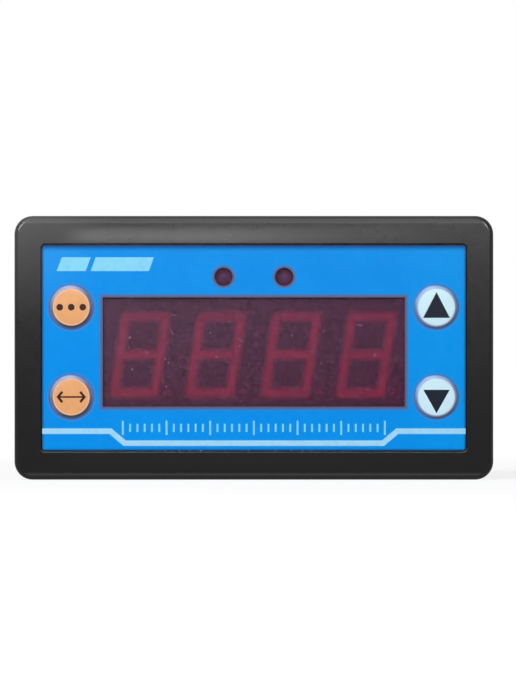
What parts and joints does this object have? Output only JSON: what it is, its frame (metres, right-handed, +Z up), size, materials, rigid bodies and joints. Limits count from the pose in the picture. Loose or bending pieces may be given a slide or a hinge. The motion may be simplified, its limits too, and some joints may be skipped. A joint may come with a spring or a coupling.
{
  "type": "digital panel tachometer",
  "caption": "Rectangular panel meter with a slanted-digit display window, round indicator lights, bevelled round keys and a snap-in rear case with screw terminals.",
  "frame": {"origin": "centre of the panel's front face, which the bezel seats on, in the middle of the cut-out", "axes": "+X to the right seen from the front, +Y into the panel, +Z up"},
  "size_m": [0.079, 0.0252, 0.0434],
  "materials": {
    "bezel_plastic": "fine satin black ABS",
    "case_plastic": "satin black ABS",
    "printed_film": "printed polyester, semi-gloss blue",
    "red_filter": "dark red transparent sheet",
    "display_housing": "dark grey moulded, printed face",
    "segment_fill": "milky red epoxy, unlit",
    "laminate": "glass-epoxy laminate with green mask",
    "tinned_metal": "tinned copper or steel",
    "lens_red": "red diffused epoxy",
    "key_orange": "orange printed face, grey bevel",
    "key_white": "pale printed face, grey bevel",
    "switch_plastic": "black moulded",
    "spring_steel": "thin spring sheet",
    "screw_steel": "zinc-plated",
    "terminal_green": "moulded green",
    "chip_plastic": "moulded black",
    "capacitor_sleeve": "dark blue sleeve",
    "ceramic": "tan ceramic"
  },
  "bodies": {
    "housing": {"front_bezel": "bezel_plastic", "rear_case": "case_plastic", "front_overlay": "printed_film", "window_filter": "red_filter", "display_body": "display_housing", "display_segments": "segment_fill", "display_base": "laminate", "display_pins": "tinned_metal", "indicator_left": "lens_red", "indicator_right": "lens_red", "indicator_leads": "tinned_metal", "switch_bases": "switch_plastic", "switch_covers": "spring_steel", "switch_domes": "spring_steel", "switch_terminals": "tinned_metal", "circuit_board": "laminate", "board_screws": "screw_steel", "terminal_housing": "terminal_green", "terminal_clamps": "tinned_metal", "terminal_screws": "screw_steel", "terminal_pins": "tinned_metal", "microcontroller": "chip_plastic", "microcontroller_leads": "tinned_metal", "display_driver": "chip_plastic", "display_driver_leads": "tinned_metal", "memory_chip": "chip_plastic", "memory_chip_leads": "tinned_metal", "optocoupler": "chip_plastic", "optocoupler_leads": "tinned_metal", "voltage_regulator": "chip_plastic", "regulator_leads": "tinned_metal", "filter_capacitors": "capacitor_sleeve", "capacitor_leads": "tinned_metal", "crystal": "spring_steel", "crystal_leads": "tinned_metal", "chip_resistors": "chip_plastic", "chip_capacitors": "ceramic", "protection_diode": "chip_plastic"},
    "key_menu": {"cap_menu": "key_orange", "plunger_menu": "switch_plastic"},
    "key_shift": {"cap_shift": "key_orange", "plunger_shift": "switch_plastic"},
    "key_up": {"cap_up": "key_white", "plunger_up": "switch_plastic"},
    "key_down": {"cap_down": "key_white", "plunger_down": "switch_plastic"}
  },
  "joints": [
    {"name": "press_menu", "type": "slide", "parent": "housing", "child": "key_menu", "axis": [0, 1, 0], "range_m": [0, 0.00025], "stiffness_N_per_m": 4000, "springref_m": -0.0003},
    {"name": "press_shift", "type": "slide", "parent": "housing", "child": "key_shift", "axis": [0, 1, 0], "range_m": [0, 0.00025], "stiffness_N_per_m": 4000, "springref_m": -0.0003},
    {"name": "press_up", "type": "slide", "parent": "housing", "child": "key_up", "axis": [0, 1, 0], "range_m": [0, 0.00025], "stiffness_N_per_m": 4000, "springref_m": -0.0003},
    {"name": "press_down", "type": "slide", "parent": "housing", "child": "key_down", "axis": [0, 1, 0], "range_m": [0, 0.00025], "stiffness_N_per_m": 4000, "springref_m": -0.0003}
  ]
}
